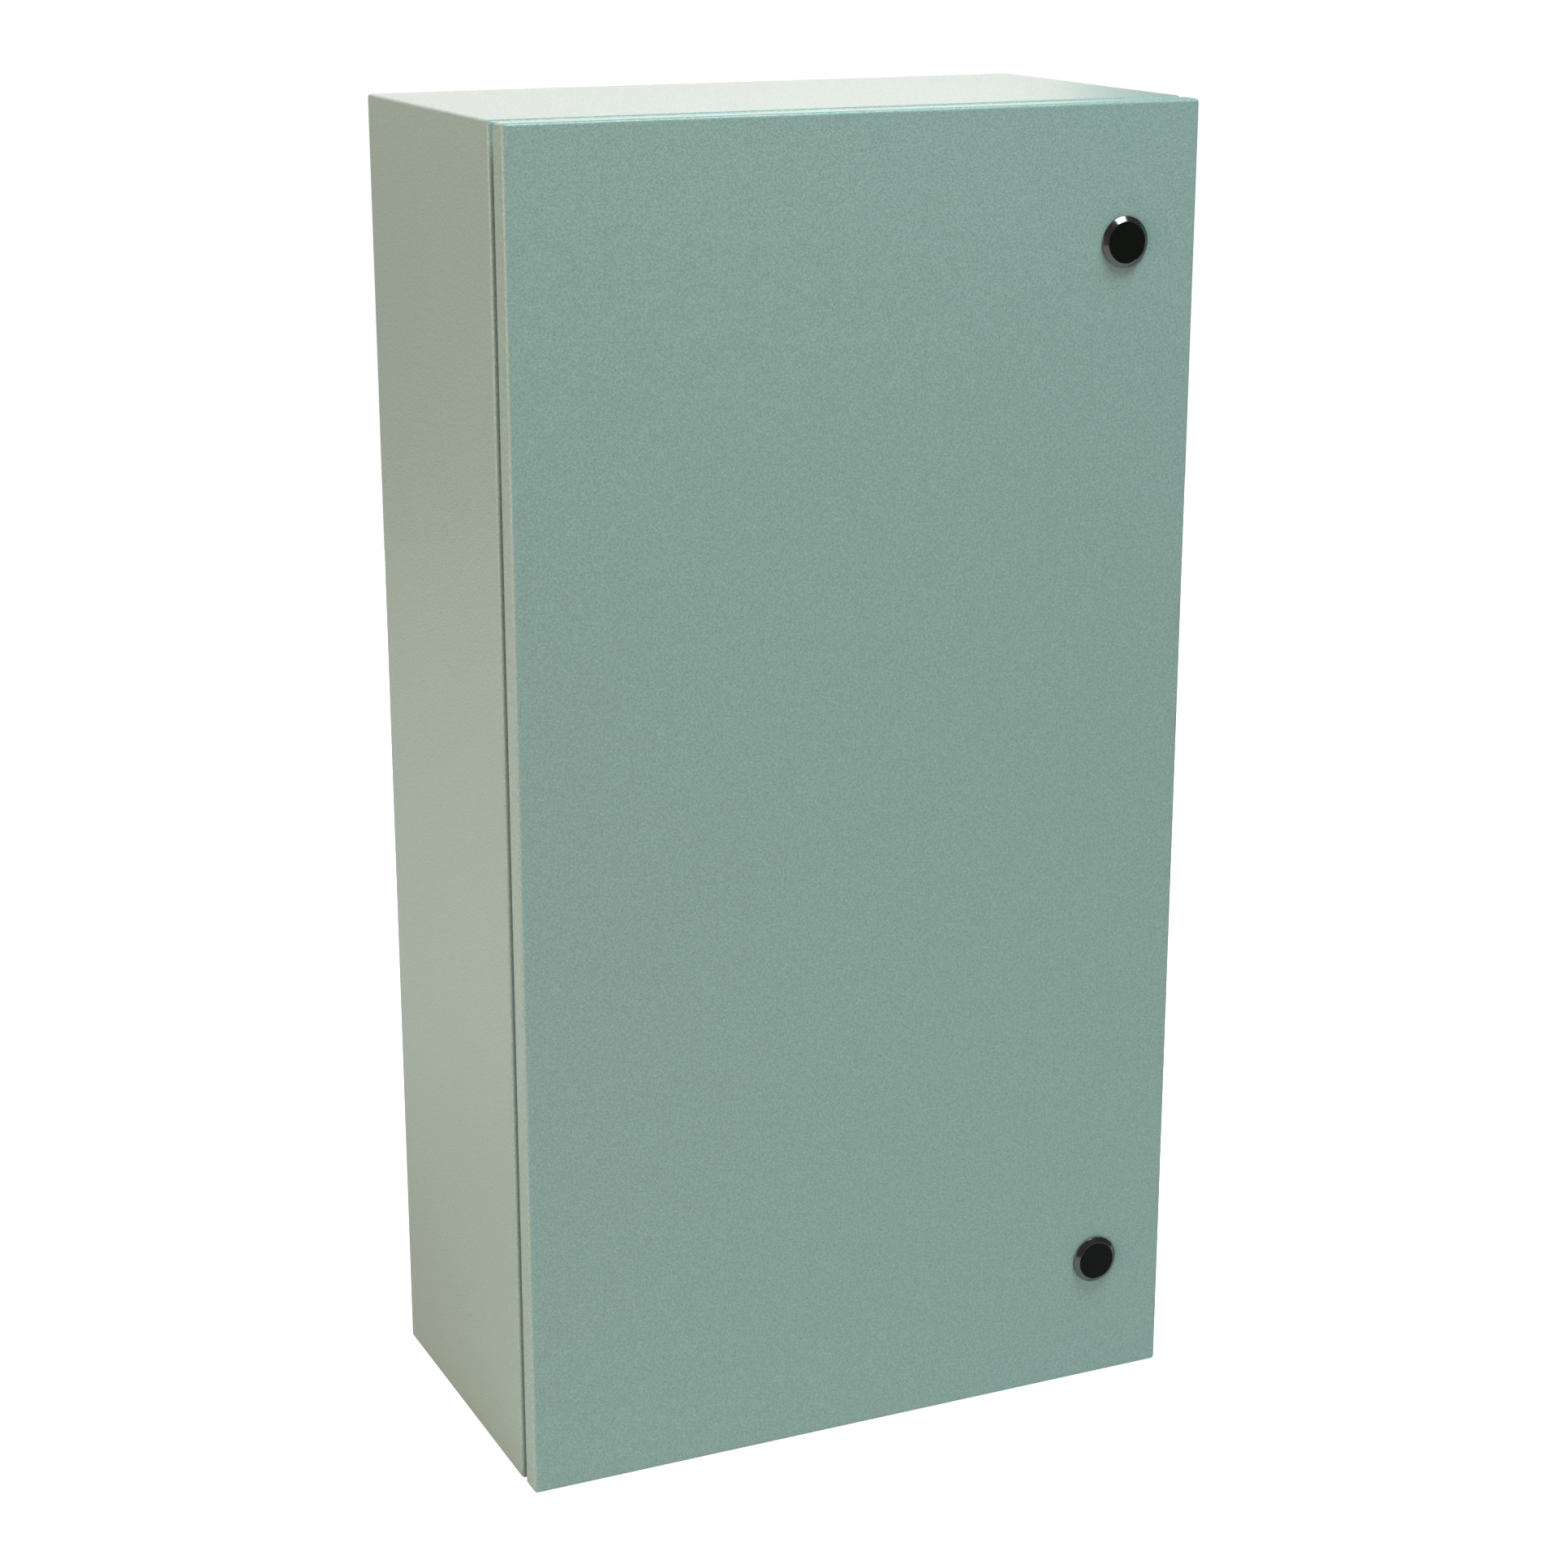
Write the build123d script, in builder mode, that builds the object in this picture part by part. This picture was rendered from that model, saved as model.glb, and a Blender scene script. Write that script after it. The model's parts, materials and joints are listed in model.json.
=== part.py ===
"""Wall-mounting steel switchboard cabinet with one hinged door and two quarter-turn locks.

Frame, in millimetres: +X to the right seen from the front, +Y towards the wall, +Z up.
The origin is in the rear plane, at the middle of the four wall holes.
Depths are counted back from the door's front face and turned into Y by depth().
"""

import os

from build123d import *

os.makedirs("parts", exist_ok=True)

# ---- driving dimensions -------------------------------------------------------------------
WIDTH = 400.0
HEIGHT = 750.0
DEPTH = 216.0  # rear plane to the door's front face
SHEET = 1.5  # body, rear panel, door and gland plate
PLAY = 0.05  # radial play of every thread, pin and rotor
HOLE_PLAY = 0.3  # radial play of a hole that a stud or screw passes through

# ---- bends --------------------------------------------------------------------------------
CORNER_R = 2.0  # corners seen from the front
BEND_R = 1.8  # outside of a fold
BEND_INNER_R = BEND_R - SHEET

# ---- door pan -----------------------------------------------------------------------------
DOOR_INSET = 0.3  # the door is this much smaller than the body on every side
DOOR_DEPTH = 13.0
DOOR_W = WIDTH - 2 * DOOR_INSET
DOOR_H = HEIGHT - 2 * DOOR_INSET

# ---- front frame of the body: the sheet folds inwards, then forwards to the gasket --------
SHADOW_GAP = 7.0  # between the door's edge and the folded front face
FOLD = DOOR_DEPTH + SHADOW_GAP
GUTTER = 16.0  # rain gutter, from the outer side to the rim
RIM = 5.6  # depth of the rim's edge, which meets the gasket
RIM_CORNER_R = 5.0
RIM_W = WIDTH - 2 * GUTTER
RIM_H = HEIGHT - 2 * GUTTER
GASKET_W = 12.0
GASKET_T = 3.8
GASKET_CORNER_R = 10.0
GASKET_CROWN_R = 0.9

# ---- wall fixing --------------------------------------------------------------------------
WALL_HOLE_INSET = 25.0
WALL_HOLE_R = 4.25

# ---- mounting plate -----------------------------------------------------------------------
PLATE_W = 330.0
PLATE_H = 680.0
PLATE_T = 2.0
PLATE_AIR = 20.0  # space behind the plate, set by the spacers
PLATE_FLANGE = 12.0
PLATE_STUD_X = 300.0
PLATE_STUD_Z = 640.0
PLATE_STUD_LENGTH = 34.0
SPACER_R = 7.0
PLATE_BACK = DEPTH - SHEET - PLATE_AIR
PLATE_FRONT = PLATE_BACK - PLATE_T

# ---- cable entry in the bottom ------------------------------------------------------------
GLAND_DEPTH = 115.0  # middle of the opening
GLAND_OPEN_W = 250.0
GLAND_OPEN_D = 90.0
GLAND_LAP = 18.0  # plate beyond the opening on every side
GLAND_SEAL_T = 2.0
GLAND_CORNER_R = 8.0
GLAND_STUD_X = 134.0
GLAND_STUD_D = 54.0
GLAND_STUD_LENGTH = 10.0

# ---- earth studs --------------------------------------------------------------------------
EARTH_Z = -335.0
EARTH_DEPTH = 60.0
EARTH_DOOR_X = -150.0
EARTH_LENGTH = 18.0
EARTH_NUT_AT = 5.6  # height of the nut's underside above the wall

# ---- concealed hinges ---------------------------------------------------------------------
HINGE_X = -194.5
HINGE_DEPTH = 10.0
HINGE_Z = {"top": 285.0, "middle": 0.0, "bottom": -285.0}
HINGE_PIN_R = 2.0
KNUCKLE_R = 3.2
KNUCKLE_H = 20.0
LEAF_PLAY = 0.4
ARM_T = 5.0
ARM_FRONT = 6.0
ARM_BACK = 10.0
ARM_TOP = KNUCKLE_H / 2 + LEAF_PLAY + ARM_T
FOOT_T = 2.0
FOOT_H = 56.0
FOOT_BACK = 19.0
FOOT_SCREW_Z = 21.5
FOOT_SCREW_DEPTH = 13.0
FOOT_SCREW_R = 2.0
SCREW_HEAD_R = 3.5
SCREW_HEAD_T = 2.4
CROSS_SLOT = (4.4, 0.9)
LEAF_LEFT = -196.5
LEAF_RIGHT = -189.8
LEAF_T = 2.5
LEAF_H = 64.0
LEAF_STUD_Z = 25.0
LEAF_STUD_LENGTH = 5.7
PIN_HEAD_R = 3.0
PIN_HEAD_T = 1.5
PIN_TAIL = 2.0
PIN_NECK_R = 1.5  # bottom of the groove for the clip

# ---- quarter-turn locks -------------------------------------------------------------------
LOCK_X = 155.0
LOCK_Z = {"top": 300.0, "bottom": -300.0}
LOCK_PROUD = 3.4
LOCK_SEAL_R = 13.6
LOCK_SEAL_T = 0.6
BEZEL_R = 14.0
BEZEL_FACE_R = 11.4
BEZEL_RIM_T = 0.7  # straight rim below the bevel
CAP_R = 11.1
CAP_T = 1.2
CAP_PLUG_LENGTH = 3.0
ROTOR_HEAD_T = 0.9
BARREL_R = 11.0
BARREL_FLAT = 10.0  # from the axis to each of the two flats
BARREL_END = 20.0
BARREL_PLAY = 0.15
ROTOR_R = 7.0
ROTOR_NECK_R = 6.2  # bottom of the groove for the clip
CLIP_T = 0.8
CLIP_PLAY = 0.1
CLIP_R = 9.0
KEY_SOCKET_LENGTH = 9.0
KEY_HOLE_R = 3.2
KEY_PIN_R = 1.5
KEY_SLOT = (10.4, 2.4)
CAM_FRONT = FOLD + SHEET + 0.7  # just behind the folded front face
CAM_T = 3.0
CAM_LENGTH = 38.0
CAM_W = 16.0
CAM_TIP_R = 3.0
CAM_HUB_R = 10.0
SQUARE = 8.0
CAM_WASHER_R = 7.0
CAM_WASHER_T = 1.2
CAM_SCREW_LENGTH = 12.0
CAM_SCREW_HEAD_T = 3.5
LOCK_NUT = (BARREL_R, 27.0, 5.0)  # as the fasteners below

# ---- stiffener rails of the door ----------------------------------------------------------
RAIL_X = 122.0
RAIL_W = 18.0
RAIL_D = 15.0
RAIL_T = 1.2
RAIL_LENGTH = 600.0
RAIL_PITCH = 25.0
RAIL_HOLE_R = 2.3
RAIL_HOLE_AT = 9.0  # height of the holes above the door's inside
RAIL_STUD_PITCH = 250.0
RAIL_STUD_LENGTH = 6.7

# ---- fasteners: thread radius, width across the flats, nut height -------------------------
M3 = (1.5, 5.5, 2.4)
M5 = (2.5, 8.0, 4.0)
M6 = (3.0, 10.0, 5.0)
M8 = (4.0, 13.0, 6.5)
M6_WASHER = (6.4, 1.6)  # outer radius, thickness
M8_WASHER = (8.0, 1.6)

EPS = 0.01
FORWARD = (0, -1, 0)
REARWARD = (0, 1, 0)
RIGHT = (1, 0, 0)


def depth(distance):
    """Y of a plane that lies this far behind the door's front face."""
    return distance - DEPTH


def spot(x, distance, z, normal=FORWARD):
    """Plane at a point, given with its depth, whose extrusions go along the normal."""
    x_dir = (0, 1, 0) if normal == RIGHT else (1, 0, 0)
    return Plane(origin=(x, depth(distance), z), x_dir=x_dir, z_dir=normal)


def sheet_plane(distance):
    """Plane parallel to the front whose extrusions go forwards."""
    return spot(0, distance, 0)


def floor_spot(x, distance, z):
    """Plane parallel to the floor at a point, given with its depth."""
    return Plane(origin=(x, depth(distance), z))


def ring_edges(builder, distance, width, height):
    """Edges at that depth that run along a centred rectangle, its corner arcs included."""

    def on_ring(edge):
        middle = edge.center()
        off = max(abs(middle.X) - width / 2, abs(middle.Z) - height / 2)
        return abs(middle.Y - depth(distance)) < EPS and abs(off) < CORNER_R

    return builder.edges().filter_by(on_ring)


def rods(places, radius, length):
    """Round rods, one on each plane."""
    with BuildPart() as group:
        for place in places:
            with BuildSketch(place):
                Circle(radius)
            extrude(amount=length)
    return group.part


def rings(places, inner, outer, thickness):
    """Flat rings such as washers and sleeves, one on each plane."""
    with BuildPart() as group:
        for place in places:
            with BuildSketch(place):
                Circle(outer)
                Circle(inner, mode=Mode.SUBTRACT)
            extrude(amount=thickness)
    return group.part


def hex_nuts(places, size):
    """Hexagonal nuts with bevelled corners, one on each plane."""
    radius, across, thickness = size
    corner = across / 3**0.5
    bevel = corner - across / 2
    with BuildPart() as nut:
        with BuildSketch():
            RegularPolygon(across / 2, 6, major_radius=False)
            Circle(radius + PLAY, mode=Mode.SUBTRACT)
        extrude(amount=thickness)
        with BuildSketch(Plane.XZ):
            with BuildLine():
                Polyline(
                    (0, 0),
                    (across / 2, 0),
                    (corner + EPS, bevel / 2),
                    (corner + EPS, thickness - bevel / 2),
                    (across / 2, thickness),
                    (0, thickness),
                    close=True,
                )
            make_face()
        revolve(axis=Axis.Z, mode=Mode.INTERSECT)
    with BuildPart() as group:
        with Locations(*(place.location for place in places)):
            add(nut.part)
    return group.part


def save(part, name):
    """Labels a finished piece and writes its STEP file."""
    part.label = name
    export_step(part, f"parts/{name}.step")


# ============================ body =========================================================


# One sheet wrapped round the four sides, folded in at the front and forwards to a rim.
with BuildPart() as body_shell:
    with BuildSketch(sheet_plane(DEPTH)):
        RectangleRounded(WIDTH, HEIGHT, CORNER_R)
    extrude(amount=DEPTH - FOLD)
    with BuildSketch(sheet_plane(DEPTH)):
        RectangleRounded(WIDTH - 2 * SHEET, HEIGHT - 2 * SHEET, CORNER_R - SHEET)
    extrude(amount=DEPTH - FOLD - SHEET, mode=Mode.SUBTRACT)
    with BuildSketch(sheet_plane(FOLD + SHEET)):
        RectangleRounded(RIM_W, RIM_H, RIM_CORNER_R)
    extrude(amount=FOLD + SHEET - RIM)
    with BuildSketch(sheet_plane(FOLD + SHEET)):
        RectangleRounded(RIM_W - 2 * SHEET, RIM_H - 2 * SHEET, RIM_CORNER_R - SHEET)
    extrude(amount=FOLD + SHEET - RIM, mode=Mode.SUBTRACT)
    # the four rounds of the two folds, outside and inside
    fillet(ring_edges(body_shell, FOLD, WIDTH, HEIGHT), BEND_R)
    fillet(
        ring_edges(body_shell, FOLD + SHEET, WIDTH - 2 * SHEET, HEIGHT - 2 * SHEET),
        BEND_INNER_R,
    )
    fillet(ring_edges(body_shell, FOLD, RIM_W, RIM_H), BEND_INNER_R)
    fillet(
        ring_edges(body_shell, FOLD + SHEET, RIM_W - 2 * SHEET, RIM_H - 2 * SHEET),
        BEND_R,
    )
    # cable entry in the bottom
    with BuildSketch(floor_spot(0, GLAND_DEPTH, -HEIGHT / 2)):
        RectangleRounded(GLAND_OPEN_W, GLAND_OPEN_D, GLAND_CORNER_R)
    extrude(amount=SHEET, mode=Mode.SUBTRACT)
    # holes through the left rim for the hinge screws
    for hinge_z in HINGE_Z.values():
        for side in (-1, 1):
            with BuildSketch(
                spot(-RIM_W / 2, FOOT_SCREW_DEPTH, hinge_z + side * FOOT_SCREW_Z, RIGHT)
            ):
                Circle(FOOT_SCREW_R + PLAY)
            extrude(amount=SHEET, mode=Mode.SUBTRACT)
save(body_shell.part, "body_shell")

# Rear panel, welded inside the back edge of the wrapped sheet.
with BuildPart() as rear_panel:
    with BuildSketch(sheet_plane(DEPTH)):
        RectangleRounded(WIDTH - 2 * SHEET, HEIGHT - 2 * SHEET, CORNER_R - SHEET)
        with GridLocations(
            WIDTH - 2 * WALL_HOLE_INSET, HEIGHT - 2 * WALL_HOLE_INSET, 2, 2
        ):
            Circle(WALL_HOLE_R, mode=Mode.SUBTRACT)
    extrude(amount=SHEET)
save(rear_panel.part, "rear_panel")


# ============================ mounting plate ===============================================


def plate_corners(distance):
    """Planes on the four fixing points of the mounting plate, at that depth."""
    return [
        spot(x * PLATE_STUD_X / 2, distance, z * PLATE_STUD_Z / 2)
        for x in (-1, 1)
        for z in (-1, 1)
    ]


# Plate with its long edges folded back.
with BuildPart() as mounting_plate:
    with BuildSketch(sheet_plane(PLATE_BACK)):
        Rectangle(PLATE_W, PLATE_H)
        with GridLocations(PLATE_STUD_X, PLATE_STUD_Z, 2, 2):
            Circle(M8[0] + HOLE_PLAY, mode=Mode.SUBTRACT)
    extrude(amount=PLATE_T)
    with BuildSketch(sheet_plane(PLATE_FRONT + PLATE_FLANGE)):
        with GridLocations(PLATE_W - PLATE_T, 0, 2, 1):
            Rectangle(PLATE_T, PLATE_H)
    extrude(amount=PLATE_FLANGE - PLATE_T)
    folded = mounting_plate.edges().filter_by(Axis.Z).group_by(Axis.Y)[0]
    fillet(folded, 1.25 * PLATE_T)
save(mounting_plate.part, "mounting_plate")

rear_inside = plate_corners(DEPTH - SHEET)
plate_face = plate_corners(PLATE_FRONT)
nut_seat = plate_corners(PLATE_FRONT - M8_WASHER[1])
save(rods(rear_inside, M8[0], PLATE_STUD_LENGTH), "mounting_plate_studs")
save(
    rings(rear_inside, M8[0] + HOLE_PLAY, SPACER_R, PLATE_AIR),
    "mounting_plate_spacers",
)
save(rings(plate_face, M8[0] + HOLE_PLAY, *M8_WASHER), "mounting_plate_washers")
save(hex_nuts(nut_seat, M8), "mounting_plate_nuts")


# ============================ cable entry ==================================================

BOTTOM = -HEIGHT / 2 + SHEET
GLAND_TOP = BOTTOM + GLAND_SEAL_T + SHEET


def gland_spots(height):
    """Planes on the six studs round the cable entry, at that height."""
    return [
        floor_spot(x * GLAND_STUD_X, GLAND_DEPTH + y * GLAND_STUD_D, height)
        for x in (-1, 0, 1)
        for y in (-1, 1)
    ]


def gland_layer(height, thickness, opening):
    """Flat layer over the cable entry, with holes for the studs and maybe an opening."""
    with BuildPart() as layer:
        with BuildSketch(floor_spot(0, GLAND_DEPTH, height)):
            RectangleRounded(
                GLAND_OPEN_W + 2 * GLAND_LAP,
                GLAND_OPEN_D + 2 * GLAND_LAP,
                GLAND_CORNER_R,
            )
            with GridLocations(GLAND_STUD_X, 2 * GLAND_STUD_D, 3, 2):
                Circle(M5[0] + HOLE_PLAY, mode=Mode.SUBTRACT)
            if opening:
                RectangleRounded(
                    GLAND_OPEN_W, GLAND_OPEN_D, GLAND_CORNER_R, mode=Mode.SUBTRACT
                )
        extrude(amount=thickness)
    return layer.part


save(gland_layer(BOTTOM, GLAND_SEAL_T, opening=True), "gland_plate_gasket")
save(gland_layer(BOTTOM + GLAND_SEAL_T, SHEET, opening=False), "gland_plate")
save(rods(gland_spots(BOTTOM), M5[0], GLAND_STUD_LENGTH), "gland_plate_studs")
save(hex_nuts(gland_spots(GLAND_TOP), M5), "gland_plate_nuts")


# ============================ earth studs ==================================================


def earth_point(name, place):
    """Stud on a wall with two washers and a nut, which clamp an earth lead."""
    under_nut = place.offset(EARTH_NUT_AT - M6_WASHER[1])
    save(rods([place], M6[0], EARTH_LENGTH), f"{name}_earth_stud")
    save(
        rings([place, under_nut], M6[0] + HOLE_PLAY, *M6_WASHER),
        f"{name}_earth_washers",
    )
    save(hex_nuts([place.offset(EARTH_NUT_AT)], M6), f"{name}_earth_nut")


earth_point("body", spot(-WIDTH / 2 + SHEET, EARTH_DEPTH, EARTH_Z, RIGHT))
earth_point("door", spot(EARTH_DOOR_X, SHEET, EARTH_Z, REARWARD))


# ============================ hinges =======================================================


def hinge_body_bracket(height, name):
    """Foot on the outside of the rim, with two arms that hold the pin over the gutter."""
    foot_left = -RIM_W / 2 - FOOT_T
    with BuildPart() as bracket:
        with BuildSketch(floor_spot(0, 0, height - FOOT_H / 2)):
            with Locations((foot_left, ARM_FRONT)):
                Rectangle(FOOT_T, FOOT_BACK - ARM_FRONT, align=(Align.MIN, Align.MIN))
        extrude(amount=FOOT_H)
        for arm_z in (height + ARM_TOP - ARM_T, height - ARM_TOP):
            with BuildSketch(floor_spot(0, 0, arm_z)):
                with Locations((HINGE_X, ARM_FRONT)):
                    Rectangle(
                        foot_left - HINGE_X,
                        ARM_BACK - ARM_FRONT,
                        align=(Align.MIN, Align.MIN),
                    )
                with Locations((HINGE_X, HINGE_DEPTH)):
                    Circle(KNUCKLE_R)
                    Circle(HINGE_PIN_R + PLAY, mode=Mode.SUBTRACT)
            extrude(amount=ARM_T)
        for side in (-1, 1):
            with BuildSketch(
                spot(foot_left, FOOT_SCREW_DEPTH, height + side * FOOT_SCREW_Z, RIGHT)
            ):
                Circle(FOOT_SCREW_R + PLAY)
            extrude(amount=FOOT_T, mode=Mode.SUBTRACT)
    save(bracket.part, f"hinge_body_bracket_{name}")


def hinge_door_bracket(height, name):
    """Narrow leaf on the inside of the door, with a knuckle that turns on the pin."""
    with BuildPart() as bracket:
        with BuildSketch(
            spot((LEAF_LEFT + LEAF_RIGHT) / 2, SHEET, height, REARWARD)
        ):
            Rectangle(LEAF_RIGHT - LEAF_LEFT, LEAF_H)
            with GridLocations(0, 2 * LEAF_STUD_Z, 1, 2):
                Circle(M3[0] + HOLE_PLAY, mode=Mode.SUBTRACT)
        extrude(amount=LEAF_T)
        with BuildSketch(floor_spot(0, 0, height - KNUCKLE_H / 2)):
            with Locations((LEAF_LEFT, SHEET)):
                Rectangle(
                    HINGE_X + KNUCKLE_R - LEAF_LEFT,
                    HINGE_DEPTH - SHEET,
                    align=(Align.MIN, Align.MIN),
                )
            with Locations((HINGE_X, HINGE_DEPTH)):
                Circle(KNUCKLE_R)
                Circle(HINGE_PIN_R + PLAY, mode=Mode.SUBTRACT)
        extrude(amount=KNUCKLE_H)
    save(bracket.part, f"hinge_door_bracket_{name}")


for hinge_name, hinge_z in HINGE_Z.items():
    hinge_body_bracket(hinge_z, hinge_name)
    hinge_door_bracket(hinge_z, hinge_name)

GROOVE_T = CLIP_T + 2 * CLIP_PLAY

# Pins with a flat head on top and a groove for the clip below the lower arm.
with BuildPart() as hinge_pins:
    for hinge_z in HINGE_Z.values():
        with BuildSketch(floor_spot(HINGE_X, HINGE_DEPTH, hinge_z - ARM_TOP - PIN_TAIL)):
            Circle(HINGE_PIN_R)
        extrude(amount=2 * ARM_TOP + PIN_TAIL)
        with BuildSketch(floor_spot(HINGE_X, HINGE_DEPTH, hinge_z + ARM_TOP)):
            Circle(PIN_HEAD_R)
        extrude(amount=PIN_HEAD_T)
        with BuildSketch(floor_spot(HINGE_X, HINGE_DEPTH, hinge_z - ARM_TOP - GROOVE_T)):
            Circle(KNUCKLE_R)
            Circle(PIN_NECK_R, mode=Mode.SUBTRACT)
        extrude(amount=GROOVE_T, mode=Mode.SUBTRACT)
save(hinge_pins.part, "hinge_pins")

# Spring clips, open at one side, that hold the pins.
with BuildPart() as hinge_clips:
    for hinge_z in HINGE_Z.values():
        clip_z = hinge_z - ARM_TOP - CLIP_PLAY - CLIP_T
        with BuildSketch(floor_spot(HINGE_X, HINGE_DEPTH, clip_z)):
            Circle(KNUCKLE_R)
            Circle(PIN_NECK_R + PLAY, mode=Mode.SUBTRACT)
            with Locations((KNUCKLE_R, 0)):
                Rectangle(2 * KNUCKLE_R, HINGE_PIN_R, mode=Mode.SUBTRACT)
        extrude(amount=CLIP_T)
save(hinge_clips.part, "hinge_clips")

# Screws put in from inside the cabinet, through the rim and into the feet.
with BuildPart() as hinge_screws:
    for hinge_z in HINGE_Z.values():
        for side in (-1, 1):
            screw_z = hinge_z + side * FOOT_SCREW_Z
            rim_face = spot(-RIM_W / 2 + SHEET, FOOT_SCREW_DEPTH, screw_z, RIGHT)
            with BuildSketch(rim_face.offset(-SHEET - FOOT_T)):
                Circle(FOOT_SCREW_R)
            extrude(amount=SHEET + FOOT_T)
            with BuildSketch(rim_face):
                Circle(SCREW_HEAD_R)
            extrude(amount=SCREW_HEAD_T)
            with BuildSketch(rim_face.offset(SCREW_HEAD_T)):
                Rectangle(*CROSS_SLOT)
                Rectangle(*reversed(CROSS_SLOT))
            extrude(amount=-SCREW_HEAD_T / 2, mode=Mode.SUBTRACT)
save(hinge_screws.part, "hinge_screws")

leaf_studs = [
    spot((LEAF_LEFT + LEAF_RIGHT) / 2, SHEET, z + side * LEAF_STUD_Z, REARWARD)
    for z in HINGE_Z.values()
    for side in (-1, 1)
]
save(rods(leaf_studs, M3[0], LEAF_STUD_LENGTH), "hinge_door_studs")
save(hex_nuts([place.offset(LEAF_T) for place in leaf_studs], M3), "hinge_door_nuts")


# ============================ door =========================================================

# Shallow pan with the lock holes, which have flats so that the locks can't turn.
with BuildPart() as door_panel:
    with BuildSketch(sheet_plane(DOOR_DEPTH)):
        RectangleRounded(DOOR_W, DOOR_H, CORNER_R)
    extrude(amount=DOOR_DEPTH)
    with BuildSketch(sheet_plane(DOOR_DEPTH)):
        RectangleRounded(DOOR_W - 2 * SHEET, DOOR_H - 2 * SHEET, CORNER_R - SHEET)
    extrude(amount=DOOR_DEPTH - SHEET, mode=Mode.SUBTRACT)
    fillet(ring_edges(door_panel, 0, DOOR_W, DOOR_H), BEND_R)
    fillet(
        ring_edges(door_panel, SHEET, DOOR_W - 2 * SHEET, DOOR_H - 2 * SHEET),
        BEND_INNER_R,
    )
    for lock_z in LOCK_Z.values():
        with BuildSketch(spot(LOCK_X, SHEET, lock_z)):
            Circle(BARREL_R + BARREL_PLAY)
            Rectangle(
                2 * (BARREL_FLAT + BARREL_PLAY), 3 * BARREL_R, mode=Mode.INTERSECT
            )
        extrude(amount=SHEET, mode=Mode.SUBTRACT)
save(door_panel.part, "door_panel")

# Foamed gasket on the door, which the rim meets.
with BuildPart() as door_gasket:
    with BuildSketch(sheet_plane(SHEET + GASKET_T)):
        RectangleRounded(
            RIM_W - SHEET + GASKET_W, RIM_H - SHEET + GASKET_W, GASKET_CORNER_R
        )
        RectangleRounded(
            RIM_W - SHEET - GASKET_W,
            RIM_H - SHEET - GASKET_W,
            GASKET_CROWN_R,
            mode=Mode.SUBTRACT,
        )
    extrude(amount=GASKET_T)
    crown = door_gasket.edges().filter_by_position(
        Axis.Y, depth(SHEET + GASKET_T) - EPS, depth(SHEET + GASKET_T) + EPS
    )
    fillet(crown, GASKET_CROWN_R)
save(door_gasket.part, "door_gasket")


def stiffener_rail(x, name):
    """U-shaped rail on the inside of the door, with rows of accessory holes in its legs."""
    with BuildPart() as rail:
        with BuildSketch(spot(x, SHEET, 0, REARWARD)):
            Rectangle(RAIL_W, RAIL_LENGTH)
        extrude(amount=RAIL_D)
        with BuildSketch(spot(x, SHEET + RAIL_T, 0, REARWARD)):
            Rectangle(RAIL_W - 2 * RAIL_T, RAIL_LENGTH)
        extrude(amount=RAIL_D - RAIL_T, mode=Mode.SUBTRACT)
        with BuildSketch(spot(x, SHEET, 0, REARWARD)):
            with GridLocations(0, RAIL_STUD_PITCH, 1, 3):
                Circle(M5[0] + HOLE_PLAY)
        extrude(amount=RAIL_T, mode=Mode.SUBTRACT)
        with BuildSketch(spot(x - RAIL_W / 2, SHEET + RAIL_HOLE_AT, 0, RIGHT)):
            with GridLocations(0, RAIL_PITCH, 1, int(RAIL_LENGTH / RAIL_PITCH) - 1):
                Circle(RAIL_HOLE_R)
        extrude(amount=RAIL_W, mode=Mode.SUBTRACT)
    save(rail.part, f"stiffener_rail_{name}")


stiffener_rail(-RAIL_X, "left")
stiffener_rail(RAIL_X, "right")

rail_studs = [
    spot(x, SHEET, row * RAIL_STUD_PITCH, REARWARD)
    for x in (-RAIL_X, RAIL_X)
    for row in (-1, 0, 1)
]
save(rods(rail_studs, M5[0], RAIL_STUD_LENGTH), "rail_studs")
save(hex_nuts([place.offset(RAIL_T) for place in rail_studs], M5), "rail_nuts")


# ============================ locks ========================================================

HEAD_BACK = -LOCK_PROUD + CAP_T + ROTOR_HEAD_T
CAP_BACK = -LOCK_PROUD + CAP_T
CAM_BACK = CAM_FRONT + CAM_T


def lock_housing(height, name):
    """Bezel and barrel in one casting, with a stepped bore for the rotor."""
    with BuildPart() as housing:
        with BuildSketch(spot(LOCK_X, -LOCK_SEAL_T, height)):
            Circle(BEZEL_R)
        extrude(amount=LOCK_PROUD - LOCK_SEAL_T)
        front_edge = housing.edges().filter_by(GeomType.CIRCLE).sort_by(Axis.Y)[0]
        bevel = LOCK_PROUD - LOCK_SEAL_T - BEZEL_RIM_T
        chamfer(front_edge, bevel, BEZEL_R - BEZEL_FACE_R)
        with BuildSketch(spot(LOCK_X, BARREL_END, height)):
            Circle(BARREL_R)
            Rectangle(2 * BARREL_FLAT, 3 * BARREL_R, mode=Mode.INTERSECT)
        extrude(amount=BARREL_END + LOCK_SEAL_T)
        with BuildSketch(spot(LOCK_X, BARREL_END, height)):
            Circle(ROTOR_R + PLAY)
        extrude(amount=BARREL_END + LOCK_PROUD, mode=Mode.SUBTRACT)
        with BuildSketch(spot(LOCK_X, HEAD_BACK, height)):
            Circle(CAP_R + PLAY)
        extrude(amount=LOCK_PROUD + HEAD_BACK, mode=Mode.SUBTRACT)
    save(housing.part, f"lock_housing_{name}")


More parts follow.
